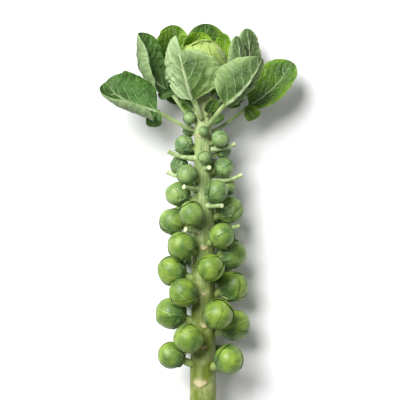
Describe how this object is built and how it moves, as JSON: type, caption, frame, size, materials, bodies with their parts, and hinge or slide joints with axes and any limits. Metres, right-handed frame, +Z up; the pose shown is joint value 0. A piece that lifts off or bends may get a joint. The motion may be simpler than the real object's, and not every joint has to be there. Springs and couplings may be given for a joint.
{
  "type": "brussels sprout stalk",
  "caption": "Cut stalk of Brussels sprouts, lying down, with round sprouts all around a pale green stem and an open leafy crown around a closed head.",
  "frame": {"origin": "middle of the underside of the whole stalk's box, on the surface it lies on", "axes": "+Y along the stem from its cut end to the crown, +Z up from the surface, +X to the right of the stalk seen from above with the crown away from the viewer"},
  "size_m": [0.2474, 0.492, 0.1053],
  "materials": {
    "stem": "fresh green plant stem, satin",
    "sprout": "fresh waxy leaf, satin",
    "crown_leaf": "fresh leaf with a bloom, matt",
    "head": "pale fresh leaf, satin"
  },
  "bodies": {
    "root": {"stem": "stem", "crown_head": "head", "head_collar_leaf_left": "head", "head_collar_leaf_right": "head", "head_wrapper_leaf": "crown_leaf", "leaf_far_left": "crown_leaf", "leaf_far_right": "crown_leaf", "leaf_front_right": "crown_leaf", "leaf_inner_right": "crown_leaf", "leaf_left": "crown_leaf", "leaf_rear": "crown_leaf", "leaf_rear_left": "crown_leaf", "leaf_right": "crown_leaf", "leaf_under_left": "crown_leaf", "leaf_under_right": "crown_leaf", "small_leaf_front": "crown_leaf", "small_leaf_left": "crown_leaf", "small_leaf_right": "crown_leaf", "sprout_01": "sprout", "sprout_02": "sprout", "sprout_03": "sprout", "sprout_04": "sprout", "sprout_05": "sprout", "sprout_06": "sprout", "sprout_07": "sprout", "sprout_08": "sprout", "sprout_09": "sprout", "sprout_10": "sprout", "sprout_11": "sprout", "sprout_12": "sprout", "sprout_13": "sprout", "sprout_14": "sprout", "sprout_15": "sprout", "sprout_16": "sprout", "sprout_17": "sprout", "sprout_18": "sprout", "sprout_19": "sprout", "sprout_20": "sprout", "sprout_21": "sprout", "sprout_22": "sprout", "sprout_23": "sprout", "sprout_24": "sprout", "sprout_25": "sprout", "sprout_26": "sprout", "sprout_27": "sprout", "sprout_28": "sprout", "sprout_29": "sprout", "sprout_30": "sprout", "sprout_31": "sprout", "sprout_32": "sprout", "sprout_33": "sprout", "sprout_34": "sprout", "sprout_35": "sprout", "sprout_36": "sprout", "sprout_37": "sprout", "sprout_38": "sprout", "sprout_39": "sprout", "sprout_40": "sprout", "sprout_41": "sprout", "sprout_42": "sprout"}
  },
  "joints": []
}
